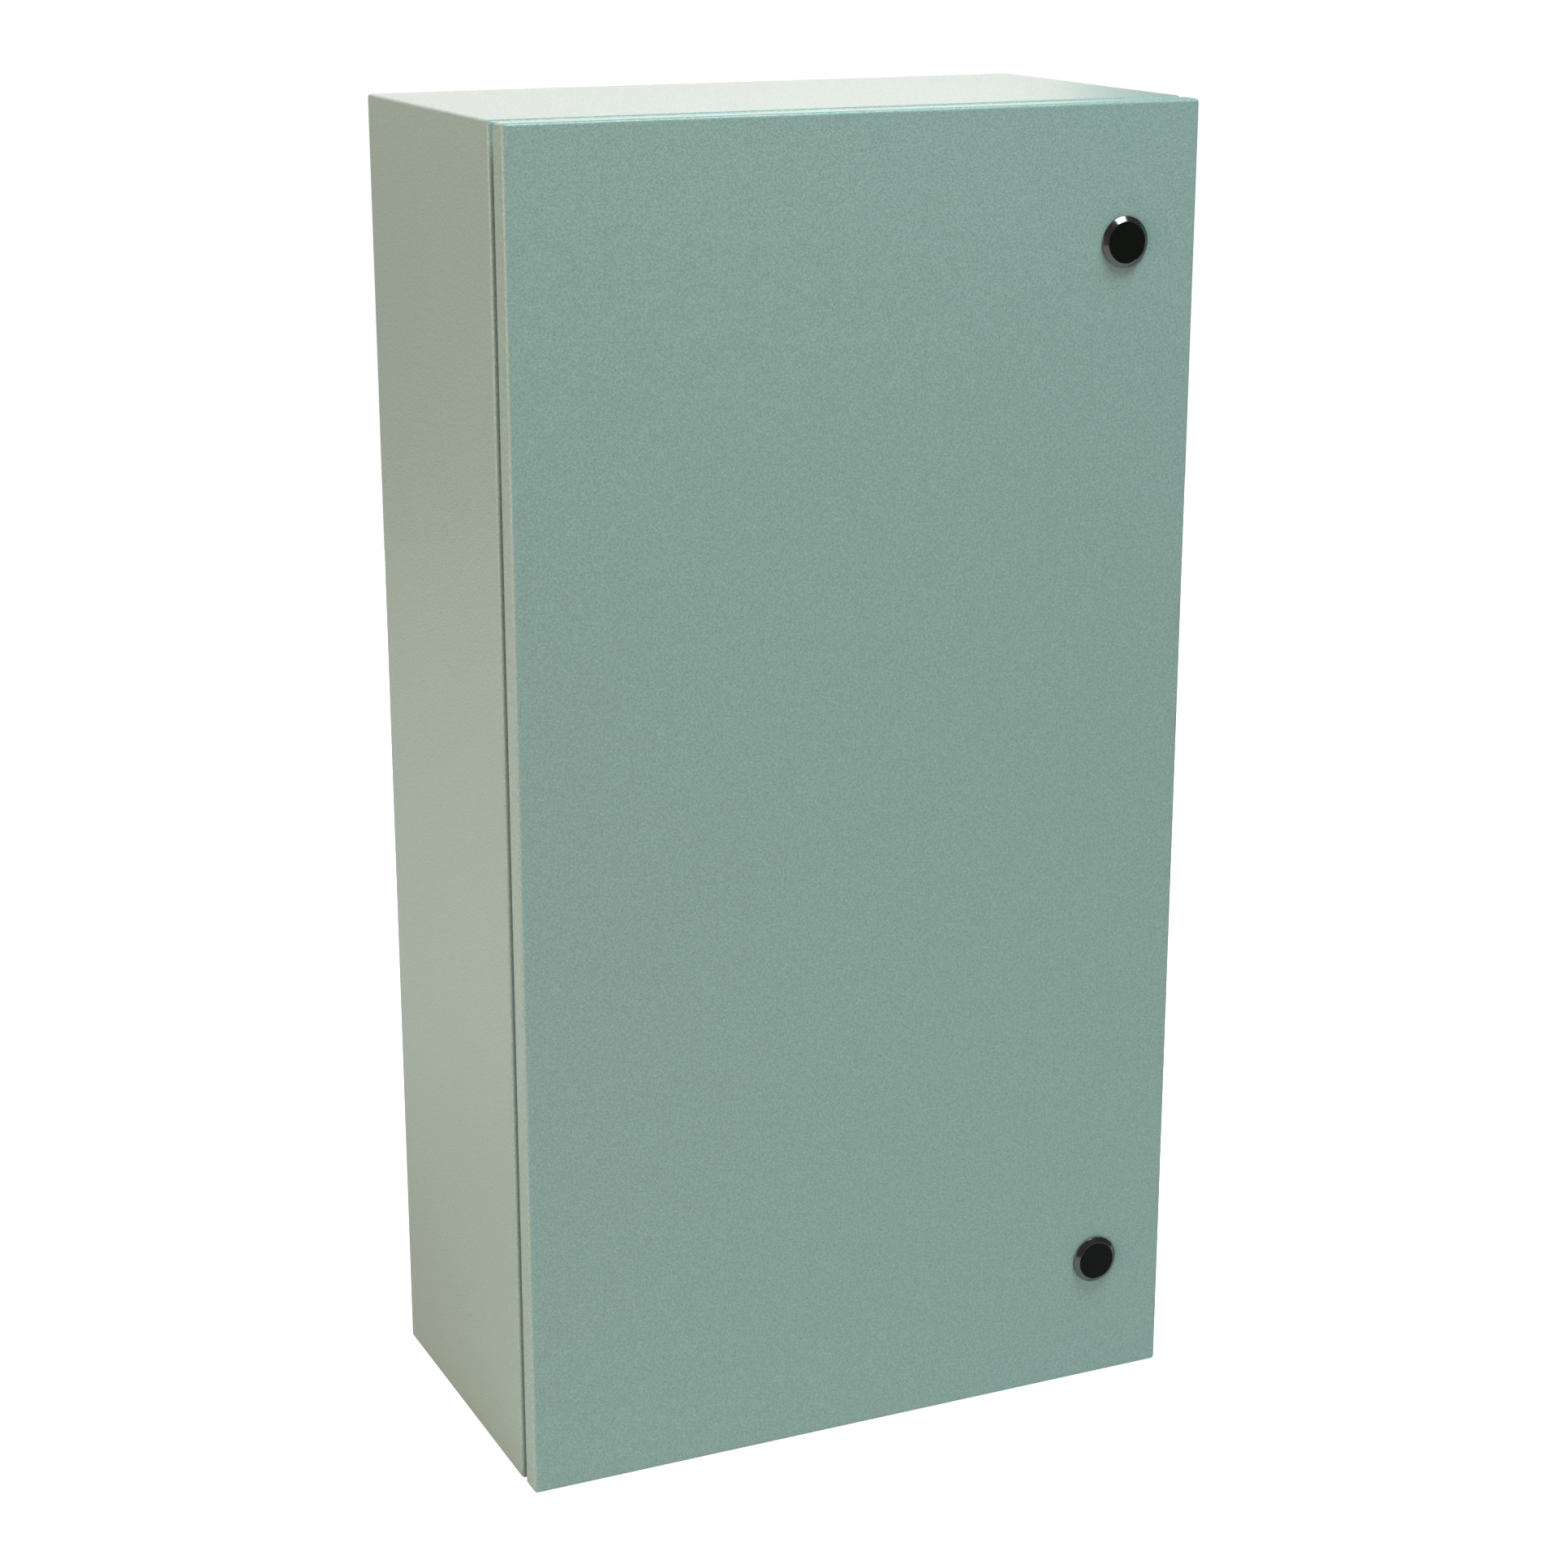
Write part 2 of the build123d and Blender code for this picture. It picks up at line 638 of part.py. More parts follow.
def lock_rotor(height, name):
    """Turning core: key socket in front, groove for its clip and a square for the cam."""
    with BuildPart() as rotor:
        with BuildSketch(spot(LOCK_X, HEAD_BACK, height)):
            Circle(CAP_R)
        extrude(amount=ROTOR_HEAD_T)
        with BuildSketch(spot(LOCK_X, CAM_FRONT, height)):
            Circle(ROTOR_R)
        extrude(amount=CAM_FRONT - HEAD_BACK)
        with BuildSketch(spot(LOCK_X, CAM_BACK, height)):
            Rectangle(SQUARE, SQUARE)
        extrude(amount=CAM_T)
        with BuildSketch(spot(LOCK_X, CAP_BACK + KEY_SOCKET_LENGTH, height)):
            Circle(KEY_HOLE_R)
            Rectangle(*KEY_SLOT)
            Circle(KEY_PIN_R, mode=Mode.SUBTRACT)
        extrude(amount=KEY_SOCKET_LENGTH, mode=Mode.SUBTRACT)
        with BuildSketch(spot(LOCK_X, BARREL_END + GROOVE_T, height)):
            Circle(CLIP_R)
            Circle(ROTOR_NECK_R, mode=Mode.SUBTRACT)
        extrude(amount=GROOVE_T, mode=Mode.SUBTRACT)
        with BuildSketch(spot(LOCK_X, CAM_BACK, height)):
            Circle(M5[0] + PLAY)
        extrude(amount=CAM_SCREW_LENGTH + CAM_T, mode=Mode.SUBTRACT)
    save(rotor.part, f"lock_rotor_{name}")


def lock_dust_cap(height, name):
    """Plain disc that closes the bezel flush, with a hollow plug in the key socket."""
    with BuildPart() as cap:
        with BuildSketch(spot(LOCK_X, CAP_BACK, height)):
            Circle(CAP_R)
        extrude(amount=CAP_T)
        rim = cap.edges().filter_by(GeomType.CIRCLE).sort_by(Axis.Y)[0]
        fillet(rim, CAP_T / 4)
        with BuildSketch(spot(LOCK_X, CAP_BACK, height, REARWARD)):
            Circle(KEY_HOLE_R - PLAY)
            Circle(KEY_PIN_R + PLAY, mode=Mode.SUBTRACT)
        extrude(amount=CAP_PLUG_LENGTH)
    save(cap.part, f"lock_dust_cap_{name}")


def lock_cam(height, name):
    """Flat cam on the rotor's square, hanging down when the lock is open."""
    with BuildPart() as cam:
        with BuildSketch(spot(LOCK_X, CAM_BACK, height)):
            Circle(CAM_HUB_R)
            with Locations((0, -CAM_LENGTH / 2)):
                Rectangle(CAM_W, CAM_LENGTH)
            Rectangle(SQUARE + 2 * PLAY, SQUARE + 2 * PLAY, mode=Mode.SUBTRACT)
        extrude(amount=CAM_T)
        tip = cam.edges().filter_by(Axis.Y).group_by(Axis.Z)[0]
        fillet(tip, CAM_TIP_R)
    save(cam.part, f"lock_cam_{name}")


def lock_fixings(height, name):
    """Clip that holds the rotor in the barrel, and the washer and screw of the cam."""
    clip_seat = spot(LOCK_X, BARREL_END + CLIP_PLAY, height, REARWARD)
    save(rings([clip_seat], ROTOR_NECK_R + PLAY, CLIP_R, CLIP_T), f"lock_clip_{name}")
    cam_back = spot(LOCK_X, CAM_BACK, height, REARWARD)
    save(
        rings([cam_back], M5[0] + HOLE_PLAY, CAM_WASHER_R, CAM_WASHER_T),
        f"lock_cam_washer_{name}",
    )
    with BuildPart() as screw:
        with BuildSketch(cam_back.offset(CAM_WASHER_T)):
            RegularPolygon(M5[1] / 2, 6, major_radius=False)
        extrude(amount=CAM_SCREW_HEAD_T)
        with BuildSketch(cam_back.offset(-CAM_SCREW_LENGTH)):
            Circle(M5[0])
        extrude(amount=CAM_SCREW_LENGTH + CAM_WASHER_T)
    save(screw.part, f"lock_cam_screw_{name}")


for lock_name, lock_z in LOCK_Z.items():
    lock_housing(lock_z, lock_name)
    lock_rotor(lock_z, lock_name)
    lock_dust_cap(lock_z, lock_name)
    lock_cam(lock_z, lock_name)
    lock_fixings(lock_z, lock_name)

door_face = [spot(LOCK_X, 0, z) for z in LOCK_Z.values()]
door_inside = [spot(LOCK_X, SHEET, z, REARWARD) for z in LOCK_Z.values()]
save(
    rings(door_face, BARREL_R + HOLE_PLAY, LOCK_SEAL_R, LOCK_SEAL_T),
    "lock_seals",
)
save(hex_nuts(door_inside, LOCK_NUT), "lock_nuts")
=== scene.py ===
"""Looks of the switchboard cabinet: materials, detailed fittings, studio and camera.

Metres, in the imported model's frame: +X right, +Y towards the wall, +Z up. The door is in front, at -Y.
"""

import json
import math

import bmesh
import bpy
from mathutils import Euler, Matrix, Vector, noise

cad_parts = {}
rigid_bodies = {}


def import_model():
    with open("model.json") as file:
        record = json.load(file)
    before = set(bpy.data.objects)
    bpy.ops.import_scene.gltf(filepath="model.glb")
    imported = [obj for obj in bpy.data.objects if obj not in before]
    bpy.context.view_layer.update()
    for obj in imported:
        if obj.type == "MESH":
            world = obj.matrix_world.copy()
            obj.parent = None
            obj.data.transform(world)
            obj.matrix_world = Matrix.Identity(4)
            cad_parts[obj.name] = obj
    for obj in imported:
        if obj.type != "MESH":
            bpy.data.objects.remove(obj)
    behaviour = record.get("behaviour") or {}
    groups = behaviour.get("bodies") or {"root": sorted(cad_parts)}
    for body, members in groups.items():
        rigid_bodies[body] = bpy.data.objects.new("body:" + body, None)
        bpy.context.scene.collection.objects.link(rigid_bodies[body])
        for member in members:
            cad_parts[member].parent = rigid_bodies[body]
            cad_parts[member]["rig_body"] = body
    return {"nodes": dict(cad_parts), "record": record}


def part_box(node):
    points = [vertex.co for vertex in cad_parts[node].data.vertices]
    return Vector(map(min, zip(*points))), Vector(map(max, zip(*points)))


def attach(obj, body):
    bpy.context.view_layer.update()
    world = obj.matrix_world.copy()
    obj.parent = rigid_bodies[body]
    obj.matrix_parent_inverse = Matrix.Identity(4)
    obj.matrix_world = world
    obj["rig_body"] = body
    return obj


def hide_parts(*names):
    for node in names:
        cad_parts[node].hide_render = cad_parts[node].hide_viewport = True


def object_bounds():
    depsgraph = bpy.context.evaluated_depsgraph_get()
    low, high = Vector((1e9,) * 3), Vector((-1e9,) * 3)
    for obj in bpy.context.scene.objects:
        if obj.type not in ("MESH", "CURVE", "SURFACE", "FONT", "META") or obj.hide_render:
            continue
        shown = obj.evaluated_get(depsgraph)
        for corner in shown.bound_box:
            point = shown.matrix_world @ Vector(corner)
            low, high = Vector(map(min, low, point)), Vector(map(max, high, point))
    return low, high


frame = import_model()
cad_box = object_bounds()
nodes = frame["nodes"]
SLOTS = {row["node"]: row["material_slot"] for row in frame["record"]["subparts"]}

# ---- camera -------------------------------------------------------------------------------
CAMERA_AT = Vector((-0.7304, -1.7099, 0.5027))
CAMERA_AZIMUTH = math.radians(-24.57)  # 0 looks along +Y, negative looks from the left
CAMERA_ELEVATION = math.radians(16.41)
CAMERA_LENS = 72.7  # mm on a 36 mm sensor

# ---- studio -------------------------------------------------------------------------------
FLOOR_SIZE = 4.4
FLOOR_GLOW = 1.0  # lifts the floor to the backdrop's white, for the camera only
BACKDROP_WHITE = 1.0
AMBIENT = 0.133
AMBIENT_COLOUR = (0.96, 1.0, 0.99)
# name: where it stands, what it points at, its width and height, watts, colour
LIGHTS = {
    "overhead": ((0.45, -0.85, 2.0), (0.0, -0.15, 0.1), (0.9, 0.6), 35.6, (0.67, 0.93, 1.0)),
    "left": ((-3.0, -0.7, 0.42), (0.0, -0.1, 0.0), (3.0, 1.4), 57.0, (1.0, 0.81, 0.71)),
    "rear": ((0.5, 2.6, 1.0), (0.0, 0.0, 0.0), (2.4, 1.8), 24.1, (1.0, 0.83, 0.78)),
}

# ---- fittings -----------------------------------------------------------------------------
MM = 0.001
SAME_POINT = 0.001 * MM
THREAD_SIDES = 32
RINGS_PER_TURN = 8
COARSE_PITCH = {3: 0.5 * MM, 5: 0.8 * MM, 6: 1.0 * MM, 8: 1.25 * MM}  # by diameter in mm
LOCK_SIDES = 96
BARREL_PITCH = 1.5 * MM
BARREL_R = 11.0 * MM
BARREL_FLAT = 10.0 * MM  # from the axis to each of the barrel's two flats
BORE_R = 7.05 * MM
BEZEL_BEVEL = (2.6 * MM, 2.1 * MM)  # across and deep
BEZEL_RIM = 0.7 * MM  # straight side behind the bevel
RECESS = 2.1 * MM  # in the bezel, for the cap and the rotor's head
CAP_T = 1.2 * MM
CAP_GAP = 0.05 * MM
PLUG_R = 3.15 * MM
LOCK_EDGE = 0.1 * MM  # round of the lock's edges
GASKET_W = 12.0 * MM
GASKET_CORNER_R = 10.0 * MM
GASKET_SHOULDER = 0.35  # share of the strip's height at its two edges
GASKET_STEPS = 14  # across the strip
GASKET_RIPPLE = 0.08  # share of the height by which the foam varies along its length
GASKET_WAVE = 40.0  # ripples per metre
ARC_STEPS = 12
SIDE_STEPS = 90
WORN_EDGE = 0.15 * MM  # of the small metal fittings


# ============================ materials ====================================================

PAINT = (0.33, 0.43, 0.375)  # sage grey-green, linear


class Shader:
    """A principled material with short calls for the nodes that feed it."""

    def __init__(self, name):
        self.material = bpy.data.materials.new(name)
        self.material.use_nodes = True
        self.tree = self.material.node_tree
        self.surface = self.tree.nodes["Principled BSDF"]
        self.place = self.tree.nodes.new("ShaderNodeTexCoord").outputs["Object"]

    def set(self, **values):
        """Constants on the surface's own sockets; underscores stand for spaces."""
        for name, value in values.items():
            self.surface.inputs[name.replace("_", " ")].default_value = value
        return self

    def feed(self, socket, output):
        self.tree.links.new(output, self.surface.inputs[socket])

    def noise(self, scale, detail=3.0, roughness=0.5, stretch=(1.0, 1.0, 1.0)):
        """Smooth noise; scale is in features per metre."""
        mapping = self.tree.nodes.new("ShaderNodeMapping")
        mapping.inputs["Scale"].default_value = stretch
        self.tree.links.new(self.place, mapping.inputs["Vector"])
        texture = self.tree.nodes.new("ShaderNodeTexNoise")
        texture.inputs["Scale"].default_value = scale
        texture.inputs["Detail"].default_value = detail
        texture.inputs["Roughness"].default_value = roughness
        self.tree.links.new(mapping.outputs["Vector"], texture.inputs["Vector"])
        return texture.outputs["Fac"]

    def cells(self, scale, output="Color"):
        """Voronoi cells; scale is in cells per metre."""
        texture = self.tree.nodes.new("ShaderNodeTexVoronoi")
        texture.inputs["Scale"].default_value = scale
        self.tree.links.new(self.place, texture.inputs["Vector"])
        return texture.outputs[output]

    def spread(self, value, low, high, source=(0.0, 1.0)):
        """Maps a value from its source range to low..high."""
        node = self.tree.nodes.new("ShaderNodeMapRange")
        node.inputs["From Min"].default_value = source[0]
        node.inputs["From Max"].default_value = source[1]
        node.inputs["To Min"].default_value = low
        node.inputs["To Max"].default_value = high
        self.tree.links.new(value, node.inputs["Value"])
        return node.outputs["Result"]

    def mix(self, value, first, second):
        """Colour between two colours or colour outputs."""
        node = self.tree.nodes.new("ShaderNodeMix")
        node.data_type = "RGBA"
        self.tree.links.new(value, node.inputs["Factor"])
        for socket, colour in (("A", first), ("B", second)):
            target = [i for i in node.inputs if i.name == socket and i.type == "RGBA"][0]
            if isinstance(colour, tuple):
                target.default_value = (*colour, 1.0)
            else:
                self.tree.links.new(colour, target)
        return [o for o in node.outputs if o.type == "RGBA"][0]

    def bump(self, height, distance, strength=1.0, onto=None):
        """Bump of that height in metres, added to another bump if one is given."""
        node = self.tree.nodes.new("ShaderNodeBump")
        node.inputs["Distance"].default_value = distance
        node.inputs["Strength"].default_value = strength
        self.tree.links.new(height, node.inputs["Height"])
        if onto is not None:
            self.tree.links.new(onto, node.inputs["Normal"])
        return node.outputs["Normal"]


def painted_steel():
    """Sage grey-green powder coat with orange peel and a fine grain."""
    s = Shader("painted_steel")
    s.set(Metallic=0.0, IOR=1.5)
    broad = s.mix(s.noise(5.0, 2.0), PAINT, tuple(0.96 * c for c in PAINT))
    grain = s.spread(s.noise(950.0, 2.0, 0.65), 0.0, 1.0, (0.30, 0.70))
    s.feed("Base Color", s.mix(grain, broad, tuple(1.45 * c for c in PAINT)))
    s.feed("Roughness", s.spread(s.noise(700.0), 0.27, 0.37, (0.3, 0.7)))
    peel = s.bump(s.noise(320.0, 2.0), 0.00006)
    s.feed("Normal", s.bump(s.noise(1000.0, 1.0), 0.00022, onto=peel))
    return s.material


def galvanised_sheet():
    """Hot-dip galvanised sheet with a faint spangle."""
    s = Shader("galvanised_sheet")
    s.set(Metallic=1.0)
    spangle = s.cells(95.0)
    s.feed("Base Color", s.mix(spangle, (0.56, 0.58, 0.60), (0.72, 0.74, 0.76)))
    s.feed("Roughness", s.spread(spangle, 0.34, 0.52))
    s.feed("Normal", s.bump(s.noise(420.0, 4.0), 0.00003))
    return s.material


def foam_gasket():
    """Foamed-in-place polyurethane with a fine skin."""
    s = Shader("foam_gasket")
    s.set(Metallic=0.0)
    s.feed("Base Color", s.mix(s.noise(260.0, 4.0), (0.030, 0.030, 0.031), (0.065, 0.065, 0.066)))
    s.feed("Roughness", s.spread(s.noise(600.0), 0.75, 0.92))
    s.feed("Normal", s.bump(s.noise(900.0, 4.0, 0.65), 0.0001))
    return s.material


def dark_chrome():
    """Dark polished nickel-chrome on a zinc casting."""
    s = Shader("dark_chrome")
    s.set(Metallic=1.0)
    s.feed("Base Color", s.mix(s.noise(120.0), (0.155, 0.142, 0.135), (0.195, 0.180, 0.172)))
    s.feed("Roughness", s.spread(s.noise(500.0, 4.0), 0.13, 0.19, (0.3, 0.7)))
    s.feed("Normal", s.bump(s.noise(260.0, 2.0), 0.000004))
    return s.material


def black_plastic():
    """Moulded black plastic with a faint spark-eroded texture."""
    s = Shader("black_plastic")
    s.set(Metallic=0.0, Specular_IOR_Level=0.14)
    s.feed("Base Color", s.mix(s.noise(400.0), (0.003, 0.003, 0.002), (0.006, 0.006, 0.004)))
    s.feed("Roughness", s.spread(s.noise(900.0), 0.45, 0.62))
    s.feed("Normal", s.bump(s.noise(2200.0, 3.0), 0.00002))
    return s.material


def zinc_casting():
    """Satin zinc die casting, as the hinges have."""
    s = Shader("zinc_casting")
    s.set(Metallic=1.0)
    s.feed("Base Color", s.mix(s.noise(200.0, 4.0), (0.34, 0.35, 0.36), (0.46, 0.47, 0.48)))
    s.feed("Roughness", s.spread(s.noise(800.0, 4.0), 0.42, 0.60))
    s.feed("Normal", s.bump(s.noise(1600.0, 4.0), 0.00004))
    return s.material


def zinc_plated_steel():
    """Bright zinc plate with a faint blue and yellow passivation."""
    s = Shader("zinc_plated_steel")
    s.set(Metallic=1.0)
    s.feed("Base Color", s.mix(s.noise(90.0, 2.0), (0.56, 0.60, 0.64), (0.68, 0.67, 0.60)))
    s.feed("Roughness", s.spread(s.noise(700.0, 4.0), 0.24, 0.40))
    s.feed("Normal", s.bump(s.noise(1200.0, 3.0), 0.00002))
    return s.material


MATERIALS = {
    maker.__name__: maker()
    for maker in (
        painted_steel,
        galvanised_sheet,
        foam_gasket,
        dark_chrome,
        black_plastic,
        zinc_casting,
        zinc_plated_steel,
    )
}


def paint_cad_nodes():
    """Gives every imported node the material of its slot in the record."""
    for node, slot in SLOTS.items():
        for used in nodes[node].material_slots:
            used.material = MATERIALS[slot]


paint_cad_nodes()


# ============================ detailed pieces ==============================================


def islands(node):
    """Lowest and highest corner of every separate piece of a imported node."""
    mesh = bmesh.new()
    mesh.from_mesh(nodes[node].data)
    bmesh.ops.remove_doubles(mesh, verts=mesh.verts, dist=SAME_POINT)
    seen = set()
    corners = []
    for first in mesh.verts:
        if first in seen:
            continue
        seen.add(first)
        group = [first]
        for vert in group:
            fresh = {edge.other_vert(vert) for edge in vert.link_edges} - seen
            seen |= fresh
            group.extend(fresh)
        along_axes = list(zip(*(vert.co for vert in group)))
        corners.append((Vector(map(min, along_axes)), Vector(map(max, along_axes))))
    mesh.free()
    return corners


def ring(centre, axis, along, radius, sides):
    """Closed ring of points about an axis; radius is a function of the turn, from 0 to 1."""
    points = []
    for side in range(sides):
        turn = side / sides
        point = centre.copy()
        point[axis] = along
        point[(axis + 1) % 3] += radius(turn) * math.cos(math.tau * turn)
        point[(axis + 2) % 3] += radius(turn) * math.sin(math.tau * turn)
        points.append(point)
    return points


def skin(mesh, rings, hollow=False):
    """Quads from ring to ring. If hollow the last ring meets the first, or else both are capped."""
    loops = [[mesh.verts.new(point) for point in points] for points in rings]
    pairs = list(zip(loops, loops[1:]))
    if hollow:
        pairs.append((loops[-1], loops[0]))
    else:
        mesh.faces.new(loops[0])
        mesh.faces.new(loops[-1])
    for near, far in pairs:
        for side in range(len(near)):
            after = (side + 1) % len(near)
            mesh.faces.new((near[side], near[after], far[after], far[side]))


def stand_in(mesh, node):
    """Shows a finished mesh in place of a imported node, on its body and in its finish."""
    bmesh.ops.recalc_face_normals(mesh, faces=mesh.faces)
    for face in mesh.faces:
        face.smooth = True
    data = bpy.data.meshes.new(f"{node}_detail")
    mesh.to_mesh(data)
    mesh.free()
    data.materials.append(MATERIALS[SLOTS[node]])
    piece = bpy.data.objects.new(data.name, data)
    bpy.context.scene.collection.objects.link(piece)
    piece.modifiers.new("flat_faces", "WEIGHTED_NORMAL").weight = 80
    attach(piece, nodes[node]["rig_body"])
    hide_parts(node)


def thread(crest, pitch, along, limit):
    """Radius of a thread as a function of the turn, at that distance along its axis."""
    depth = 0.54 * pitch

    def radius(turn):
        phase = (along / pitch - turn) % 1.0
        tooth = min(max(2.0 * abs(2.0 * phase - 1.0) - 0.5, 0.0), 1.0)
        return min(crest - depth * (1.0 - tooth), limit)

    return radius


def threaded_studs(node):
    """Studs with a coarse metric thread and chamfered ends."""
    mesh = bmesh.new()
    for low, high in islands(node):
        size = high - low
        axis = max(range(3), key=lambda index: size[index])
        crest = size[(axis + 1) % 3] / 2
        pitch = COARSE_PITCH[round(2 * crest / MM)]
        steps = round(size[axis] / pitch * RINGS_PER_TURN)
        rings = []
        for step in range(steps + 1):
            along = size[axis] * step / steps
            limit = crest - 0.6 * pitch + min(along, size[axis] - along)
            radius = thread(crest, pitch, along, limit)
            rings.append(ring((low + high) / 2, axis, low[axis] + along, radius, THREAD_SIDES))
        skin(mesh, rings)
    stand_in(mesh, node)


def turned(centre, corners):
    """Rings of a turned shape about a lock's axis, with the corners of its profile rounded."""
    profile = [Vector(corner) for corner in corners]
    path = profile[:1]
    for before, corner, after in zip(profile, profile[1:], profile[2:]):
        start = corner + (before - corner).normalized() * LOCK_EDGE
        end = corner + (after - corner).normalized() * LOCK_EDGE
        path += [start, (start + 2 * corner + end) / 4, end]
    path.append(profile[-1])
    return [ring(centre, 1, along, lambda turn, r=r: r, LOCK_SIDES) for r, along in path]


def lock_housing(name):
    """Polished bezel with a bevelled edge, and a threaded barrel with two flats behind it."""
    low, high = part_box(f"lock_housing_{name}")
    cap_low, cap_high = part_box(f"lock_dust_cap_{name}")
    centre = (low + high) / 2
    bezel_r = (high.x - low.x) / 2
    recess_r = (cap_high.x - cap_low.x) / 2 + CAP_GAP
    bevel_back = low.y + BEZEL_BEVEL[1]
    seat = bevel_back + BEZEL_RIM
    bezel = (
        (BORE_R, high.y),
        (BORE_R, low.y + RECESS),
        (recess_r, low.y + RECESS),
        (recess_r, low.y),
        (bezel_r - BEZEL_BEVEL[0], low.y),
        (bezel_r, bevel_back),
        (bezel_r, seat),
        (BARREL_R, seat),
    )
    rings = turned(centre, bezel)
    length = high.y - seat
    steps = round(length / BARREL_PITCH * RINGS_PER_TURN)
    for step in range(1, steps + 1):
        along = length * step / steps
        limit = BARREL_R - 0.6 * BARREL_PITCH + length - along
        radius = thread(BARREL_R, BARREL_PITCH, along, limit)
        points = ring(centre, 1, seat + along, radius, LOCK_SIDES)
        for point in points:
            off = point.x - centre.x
            point.x = centre.x + min(max(off, -BARREL_FLAT), BARREL_FLAT)
        rings.append(points)
    mesh = bmesh.new()
    skin(mesh, rings, hollow=True)
    stand_in(mesh, f"lock_housing_{name}")


def lock_dust_cap(name):
    """Flat disc with a soft rim, and the plug behind it."""
    low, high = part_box(f"lock_dust_cap_{name}")
    cap_r = (high.x - low.x) / 2
    outline = (
        (cap_r / 2, low.y),
        (cap_r, low.y),
        (cap_r, low.y + CAP_T),
        (PLUG_R, low.y + CAP_T),
        (PLUG_R, high.y),
        (PLUG_R / 2, high.y),
    )
    mesh = bmesh.new()
    skin(mesh, turned((low + high) / 2, outline))
    stand_in(mesh, f"lock_dust_cap_{name}")


def round_frame(low, high, inset):
    """Points round a rectangle with rounded corners, parallel to the front."""
    corner_r = max(GASKET_CORNER_R - inset, MM)
    half = Vector(((high.x - low.x) / 2, (high.z - low.z) / 2))
    reach = half - Vector((inset + corner_r, inset + corner_r))
    arcs = []
    for quarter, (x, z) in enumerate(((1, 1), (-1, 1), (-1, -1), (1, -1))):
        turns = [(quarter + step / ARC_STEPS) * math.pi / 2 for step in range(ARC_STEPS + 1)]
        middle = Vector((x * reach.x, z * reach.y))
        arcs.append([middle + corner_r * Vector((math.cos(a), math.sin(a))) for a in turns])
    points = []
    for arc, after in zip(arcs, arcs[1:] + arcs[:1]):
        points += arc
        points += [arc[-1].lerp(after[0], step / SIDE_STEPS) for step in range(1, SIDE_STEPS)]
    return points


def door_gasket():
    """Foamed strip with a domed top, a little uneven along its length."""
    low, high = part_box("door_gasket")
    centre = (low + high) / 2
    dome_rings = []
    for step in range(GASKET_STEPS + 1):
        across = step / GASKET_STEPS
        dome = GASKET_SHOULDER + (1.0 - GASKET_SHOULDER) * (1.0 - (2.0 * across - 1.0) ** 4)
        points = []
        for x, z in round_frame(low, high, across * GASKET_W):
            point = Vector((centre.x + x, low.y, centre.z + z))
            ripple = GASKET_RIPPLE * (0.5 + 0.5 * noise.noise(point * GASKET_WAVE))
            point.y += (high.y - low.y) * dome * (1.0 - ripple)
            points.append(point)
        dome_rings.append(points)
    outer_foot = [Vector((point.x, low.y, point.z)) for point in dome_rings[0]]
    inner_foot = [Vector((point.x, low.y, point.z)) for point in dome_rings[-1]]
    mesh = bmesh.new()
    skin(mesh, [outer_foot] + dome_rings + [inner_foot], hollow=True)
    stand_in(mesh, "door_gasket")


def worn_edges(node):
    """Softens the sharp edges of a small metal fitting, so that they catch the light."""
    nodes[node].modifiers.new("joined", "WELD").merge_threshold = SAME_POINT
    edge = nodes[node].modifiers.new("worn", "BEVEL")
    edge.width = WORN_EDGE
    edge.segments = 2
    edge.limit_method = "ANGLE"
    edge.angle_limit = math.radians(35)
    edge.harden_normals = True


for stud_node in [node for node in nodes if node.endswith(("_studs", "_stud"))]:
    threaded_studs(stud_node)
for lock_name in ("top", "bottom"):
    lock_housing(lock_name)
    lock_dust_cap(lock_name)
door_gasket()
for fitting, finish in SLOTS.items():
    if finish in ("zinc_casting", "zinc_plated_steel") and not nodes[fitting].hide_render:
        worn_edges(fitting)


# ============================ studio =======================================================


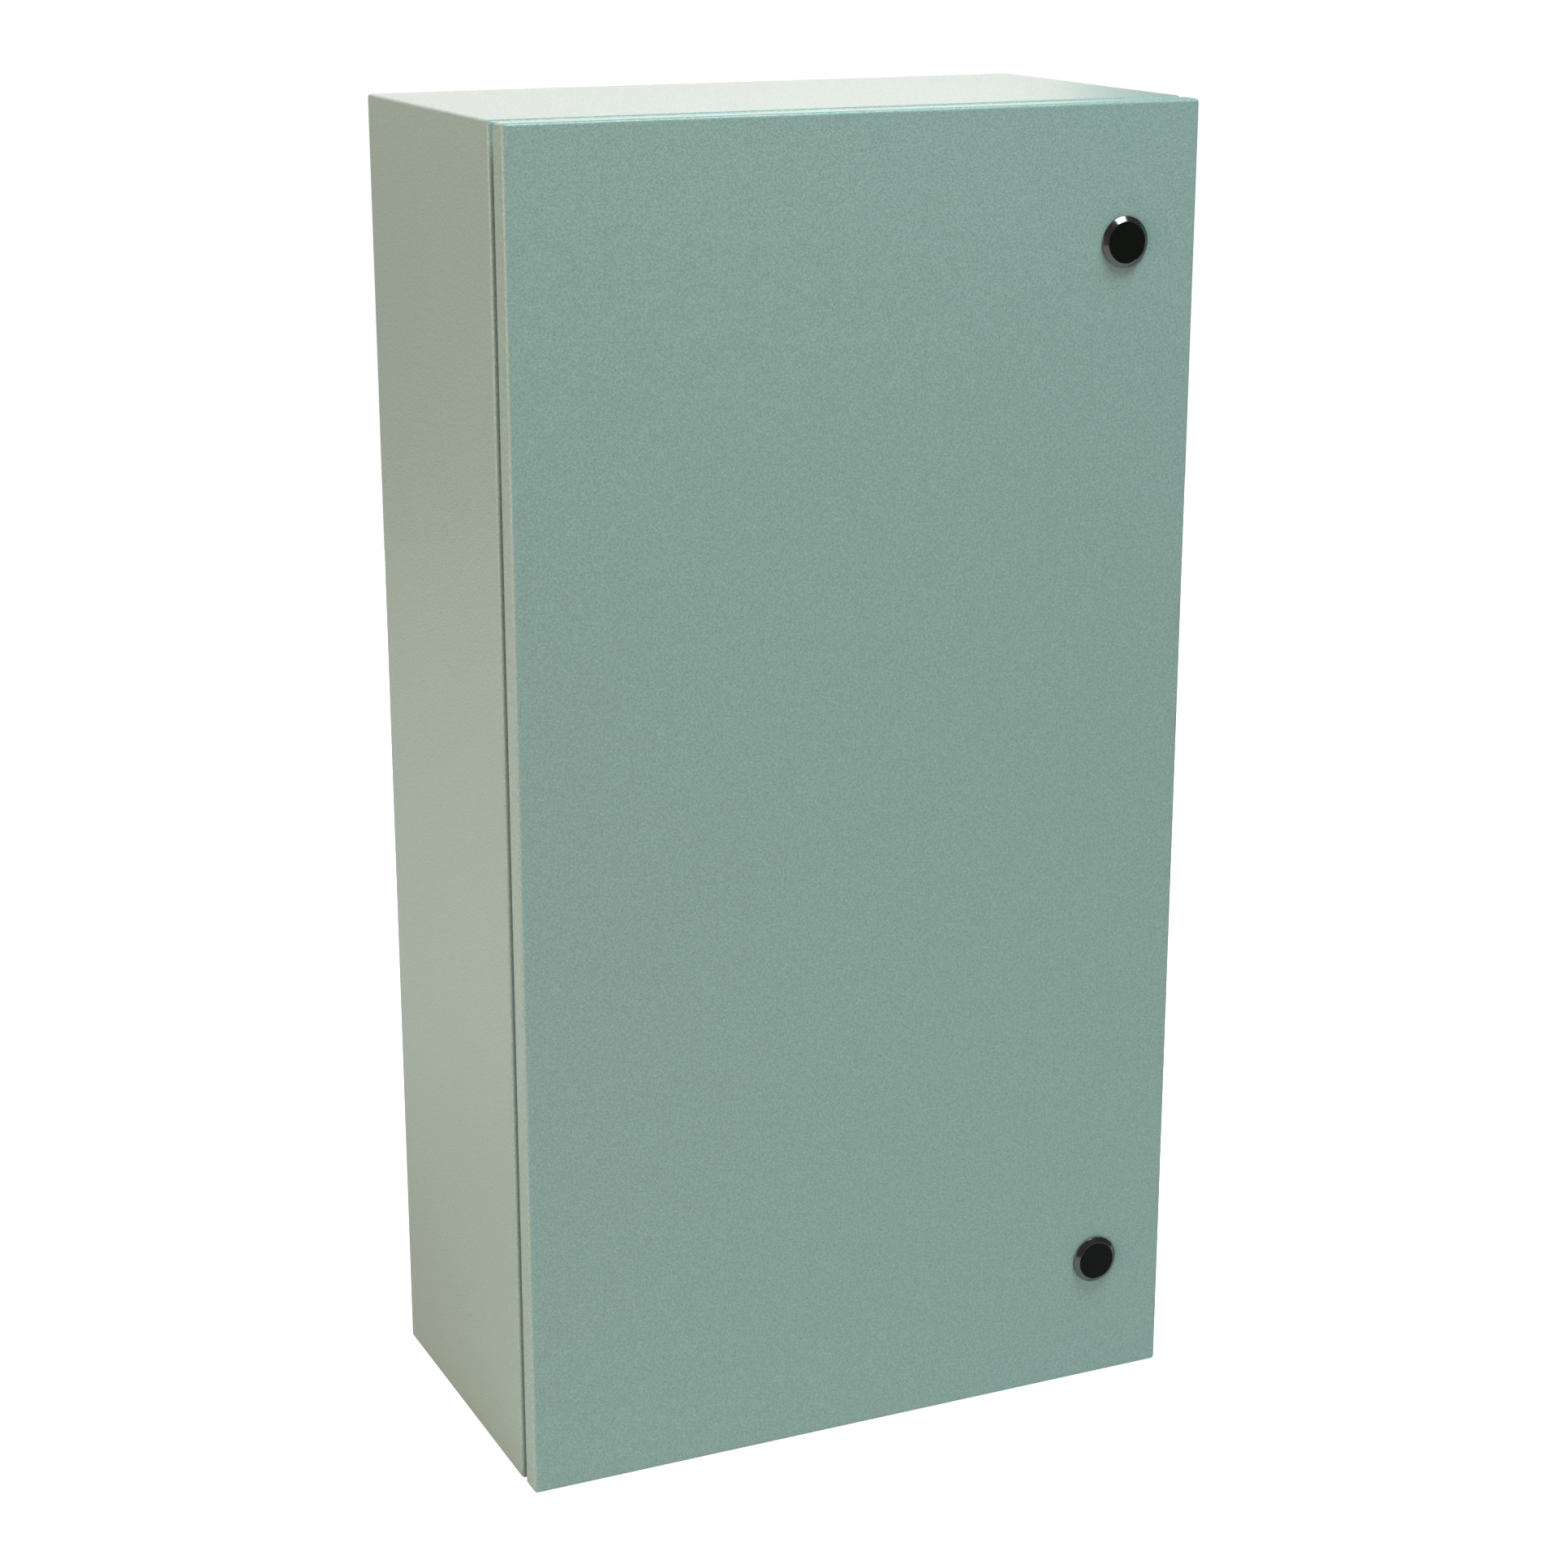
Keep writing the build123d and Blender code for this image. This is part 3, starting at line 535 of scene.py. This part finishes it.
def add_floor():
    """Plain pale floor under the cabinet."""
    shader = Shader("floor")
    shader.feed("Base Color", shader.mix(shader.noise(2.0), (0.86, 0.86, 0.86), (0.90, 0.90, 0.90)))
    shader.set(Roughness=0.9, Emission_Color=(1.0, 1.0, 1.0, 1.0))
    path = shader.tree.nodes.new("ShaderNodeLightPath")
    shader.feed("Emission Strength", shader.spread(path.outputs["Is Camera Ray"], 0.0, FLOOR_GLOW))
    half = FLOOR_SIZE / 2
    mesh = bpy.data.meshes.new("floor")
    height = cad_box[0][2]
    corners = [(x * half, y * half, height) for x, y in ((-1, -1), (1, -1), (1, 1), (-1, 1))]
    mesh.from_pydata(corners, [], [(0, 1, 2, 3)])
    mesh.materials.append(shader.material)
    floor = bpy.data.objects.new("floor", mesh)
    bpy.context.scene.collection.objects.link(floor)


def add_lights():
    """Soft area lights, each pointed at its target."""
    for name, (place, target, size, watts, colour) in LIGHTS.items():
        data = bpy.data.lights.new(name, "AREA")
        data.shape = "RECTANGLE"
        data.size, data.size_y = size
        data.energy = watts
        data.color = colour
        light = bpy.data.objects.new(name, data)
        light.location = place
        aim = Vector(target) - Vector(place)
        light.rotation_euler = aim.to_track_quat("-Z", "Y").to_euler()
        bpy.context.scene.collection.objects.link(light)


def add_world():
    """White backdrop for the camera and a dimmer, even light for the scene."""
    world = bpy.data.worlds.new("studio")
    world.use_nodes = True
    tree = world.node_tree
    tree.nodes.clear()
    output = tree.nodes.new("ShaderNodeOutputWorld")
    blend = tree.nodes.new("ShaderNodeMixShader")
    path = tree.nodes.new("ShaderNodeLightPath")
    tree.links.new(path.outputs["Is Camera Ray"], blend.inputs["Fac"])
    shades = ((1, AMBIENT, AMBIENT_COLOUR), (2, BACKDROP_WHITE, (1.0, 1.0, 1.0)))
    for index, strength, colour in shades:
        shade = tree.nodes.new("ShaderNodeBackground")
        shade.inputs["Strength"].default_value = strength
        shade.inputs["Color"].default_value = (*colour, 1.0)
        tree.links.new(shade.outputs["Background"], blend.inputs[index])
    tree.links.new(blend.outputs["Shader"], output.inputs["Surface"])
    bpy.context.scene.world = world


def add_camera():
    """Long-lens camera at the left, above the middle of the cabinet."""
    data = bpy.data.cameras.new("camera")
    data.lens = CAMERA_LENS
    data.sensor_width = 36.0
    camera = bpy.data.objects.new("camera", data)
    camera.location = CAMERA_AT
    camera.rotation_euler = Euler(
        (math.pi / 2 - CAMERA_ELEVATION, 0.0, CAMERA_AZIMUTH), "XYZ"
    )
    bpy.context.scene.collection.objects.link(camera)
    bpy.context.scene.camera = camera


add_floor()
add_lights()
add_world()
add_camera()
bpy.context.scene.view_settings.view_transform = "Standard"
